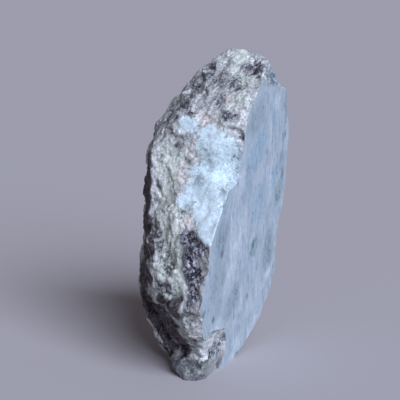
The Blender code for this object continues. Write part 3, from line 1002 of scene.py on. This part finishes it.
# %% Note the patches of the sawn face
# across and along the fibres, reach across and along, share
DEEPER = [(21.5, 66.4, 8.0, 5.9, 0.9), (23.7, 46.7, 5.8, 4.4, 0.8), (35.9, 47.4, 3.6, 3.7, 0.7),
          (-2.9, 60.9, 3.6, 3.3, 0.5), (34.6, 71.7, 3.6, 5.2, 0.4), (25.8, 39.0, 2.9, 3.3, 0.6)]
GREYER = [(21.5, 78.3, 5.1, 5.9, 0.6), (-4.1, 52.4, 4.3, 6.6, 0.7), (-6.7, 38.8, 5.8, 7.4, 0.5),
          (4.4, 22.2, 6.5, 5.2, 0.8), (33.1, 20.2, 4.3, 8.1, 0.9), (21.5, 30.5, 3.6, 3.7, 1.0),
          (41.0, 38.5, 3.6, 5.9, 0.7), (-7.2, 28.5, 4.3, 5.2, 0.5), (43.5, 56.7, 1.4, 5.5, 0.8),
          (45.0, 67.0, 1.6, 6.6, 0.8), (44.5, 46.0, 1.8, 6.6, 0.9), (16.0, 57.0, 3.6, 7.0, 0.5)]
PALER = [(8.2, 43.4, 4.3, 9.6, 0.7), (3.9, 34.4, 5.1, 3.3, 0.7), (34.7, 10.6, 2.9, 3.3, 1.0),
         (-9.3, 19.1, 5.8, 4.4, 0.9), (8.4, -0.2, 5.1, 3.7, 0.6), (36.7, 75.4, 2.9, 3.7, 0.7),
         (21.9, -2.0, 4.3, 3.0, 0.9), (10.2, 64.7, 3.6, 5.2, 0.6), (21.1, 9.6, 6.5, 3.7, 0.6)]
THREADS = [(34.0, 50.2, 0.9, 7.0, 0.8), (33.0, 67.0, 0.7, 5.9, 0.6), (14.1, 48.5, 0.7, 8.5, 0.6),
           (3.0, 49.5, 0.7, 9.6, 0.7), (11.7, 18.0, 0.9, 6.6, 0.7)]
DASHES = [(20.5, 32.7, 1.2, 1.8, 0.9), (-3.9, 47.2, 1.2, 1.5, 0.8), (-12.6, 47.1, 0.7, 1.8, 0.5),
          (-16.7, 34.7, 1.0, 1.5, 0.9), (-10.1, 26.9, 0.8, 1.5, 0.9), (6.2, 15.1, 0.7, 1.5, 0.8),
          (29.9, 61.0, 0.7, 1.1, 0.7), (30.7, 6.2, 0.9, 1.1, 0.5), (16.7, 14.8, 0.7, 1.5, 0.5),
          (42.6, 30.3, 0.7, 1.5, 0.6), (45.1, 58.0, 0.7, 1.5, 0.9), (42.3, 51.1, 1.0, 2.2, 0.8)]
print("patches on the sawn face:",
      sum(len(spots) for spots in (DEEPER, GREYER, PALER, THREADS, DASHES)))

# %% Lay out the sawn face
FIBRE_LEAN = math.radians(23.5)
OUT_OF_FACE = 1000.0  # how far into the stone a patch reaches: it doesn't matter
sawn_face, shader, place = new_finish("sawn_face")
fibre_place = place.node("Mapping", {"vector_type": "TEXTURE"},
                         {"Vector": place, "Rotation": (FIBRE_LEAN, 0.0, 0.0)})


def warp(place, size, amount):
    """Push a place about, so that what is painted there gets a ragged rim."""
    swirl = moved(cloud(place, size, detail=3.0, out=1), (-0.5, -0.5, -0.5))
    return moved(place, scaled(swirl, amount))


def patches(place, spots):
    """The strongest patch at each place: 0 where there is none."""
    total = None
    for across, along, reach_across, reach_along, share in spots:
        egg = place.node("Mapping", {"vector_type": "TEXTURE"},
                         {"Vector": place, "Location": (0.0, across, along),
                          "Scale": (OUT_OF_FACE, reach_across, reach_along)})
        distance = egg.node("VectorMath", {"operation": "LENGTH"}, {0: egg}, out=1)
        here = step(distance, 0.4, 1.5, share, 0.0)
        total = here if total is None else total.maths("MAXIMUM", total, here)
    return total


def stretched(place, length):
    """A place drawn out along the fibres."""
    return place.node("Mapping", {"vector_type": "POINT"},
                      {"Vector": place, "Scale": (1.0, 1.0, 1.0 / length)})


print("fibres lean, degrees:", round(math.degrees(FIBRE_LEAN), 1))

# %% Streaks and patches of the sawn face
fibres = cloud(warp(stretched(fibre_place, 5.0), 4.0, 0.8), 1.3, detail=4.0, rough=0.65) - 0.5
veils = cloud(moved(stretched(fibre_place, 2.5), (9.0, 3.0, 4.0)), 3.6, detail=3.0) - 0.5
crumbs = cloud(stretched(fibre_place, 1.6), 1.1, detail=3.0, rough=0.6) - 0.5
torn = warp(warp(fibre_place, 7.0, 6.0), 2.0, 2.6)
patchy = fibres * 1.5 + crumbs * 0.9
greyish = cloud(moved(stretched(fibre_place, 3.0), (2.0, 8.0, 1.0)), 7.0, detail=1.0)
grey_share = step(patches(torn, GREYER) + patchy + veils * 1.2, 0.1, 0.75)
grey_share = grey_share + step(greyish, 0.42, 0.6, 0.0, 0.35)
deep_share = step(patches(torn, DEEPER) + patchy - veils * 1.2, 0.15, 0.65)
pale_share = patches(torn, PALER) + patches(warp(fibre_place, 5.0, 1.5), THREADS)
ticks = cloud(warp(stretched(fibre_place, 2.4), 2.0, 1.0), 0.8, detail=4.0, rough=0.7)
ticks = step(ticks, 0.53, 0.66)
print("nodes for streaks and patches:", len(sawn_face.node_tree.nodes))

# %% Colour of the sawn face
SAWN_TONE = 0.54
SAWN_BLUE = ((98, 116, 126), (136, 153, 163), (154, 171, 180), (170, 186, 194), (200, 212, 218))
SAWN_GREY = ((80, 100, 108), (120, 142, 149), (137, 160, 166), (153, 174, 179), (186, 200, 204))
SAWN_DEEP = ((90, 114, 130), (124, 150, 163), (138, 165, 178), (153, 178, 190), (188, 205, 214))
tone = SAWN_TONE + fibres * 1.3 + veils * 0.5 + crumbs * 0.7
tone = tone - ticks * (0.08 + (grey_share + deep_share) * 0.4) + pale_share * 0.3
tone = tone - patches(warp(fibre_place, 2.0, 0.8), DASHES) * (0.5 + crumbs)
grey_tone = tone - grey_share * 0.12
colour = blend(grey_share, tones(tone, SAWN_BLUE), tones(grey_tone, SAWN_GREY))
colour = blend(deep_share, colour, tones(tone, SAWN_DEEP))
feed(colour, shader, "Base Color")
feed(step(veils + crumbs, -0.2, 0.2, 0.58, 0.42), shader, "Roughness")
saw_marks = crumbs * 0.5 + cloud(stretched(fibre_place, 3.0), 0.5, detail=2.0) * 0.6
feed_bump(saw_marks, 0.05, shader)
stone.data.materials.append(sawn_face)
print("sawn face:", len(sawn_face.node_tree.nodes), "nodes")

# %% [markdown]
# ## Stage
#
# The stone stands on plain pale paper. The room is dim and slightly cool, and one broad
# lamp shines from the right, in front and above. A sun lamp with a wide angle gives that
# soft shadow, and lights the paper evenly out to the picture's edges.

# %% Lay the paper
bm = bmesh.new()
bmesh.ops.create_circle(bm, cap_ends=True, segments=96, radius=6.0)
floor = to_object("floor", bm)
paper = bpy.data.materials.new("paper")
paper.use_nodes = True
shader = paper.node_tree.nodes["Principled BSDF"]
shader.inputs["Base Color"].default_value = (0.36, 0.36, 0.36, 1.0)
shader.inputs["Roughness"].default_value = 0.9
shader.inputs["Specular IOR Level"].default_value = 0.1
floor.data.materials.append(paper)
print("paper, m across:", round(floor.dimensions.x, 1))

# %% Light the room
world = bpy.data.worlds.new("room")
bpy.context.scene.world = world
world.use_nodes = True
background = world.node_tree.nodes["Background"]
background.inputs["Color"].default_value = (0.17, 0.148, 0.175, 1.0)
background.inputs["Strength"].default_value = 1.0

TO_LAMP = Vector((0.6243, -0.5815, 0.522)).normalized()
lamp_data = bpy.data.lights.new("soft_lamp", "SUN")
lamp_data.angle = math.radians(36.0)
lamp_data.energy = 5.935
lamp_data.color = (0.777, 0.799, 1.0)
lamp = bpy.data.objects.new("soft_lamp", lamp_data)
lamp.rotation_euler = TO_LAMP.to_track_quat("Z", "Y").to_euler()
bpy.context.scene.collection.objects.link(lamp)
print("lamp height, degrees:", round(math.degrees(math.asin(TO_LAMP.z))))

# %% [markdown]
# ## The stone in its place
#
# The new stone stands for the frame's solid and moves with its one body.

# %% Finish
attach(stone, "root")
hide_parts(NODE)
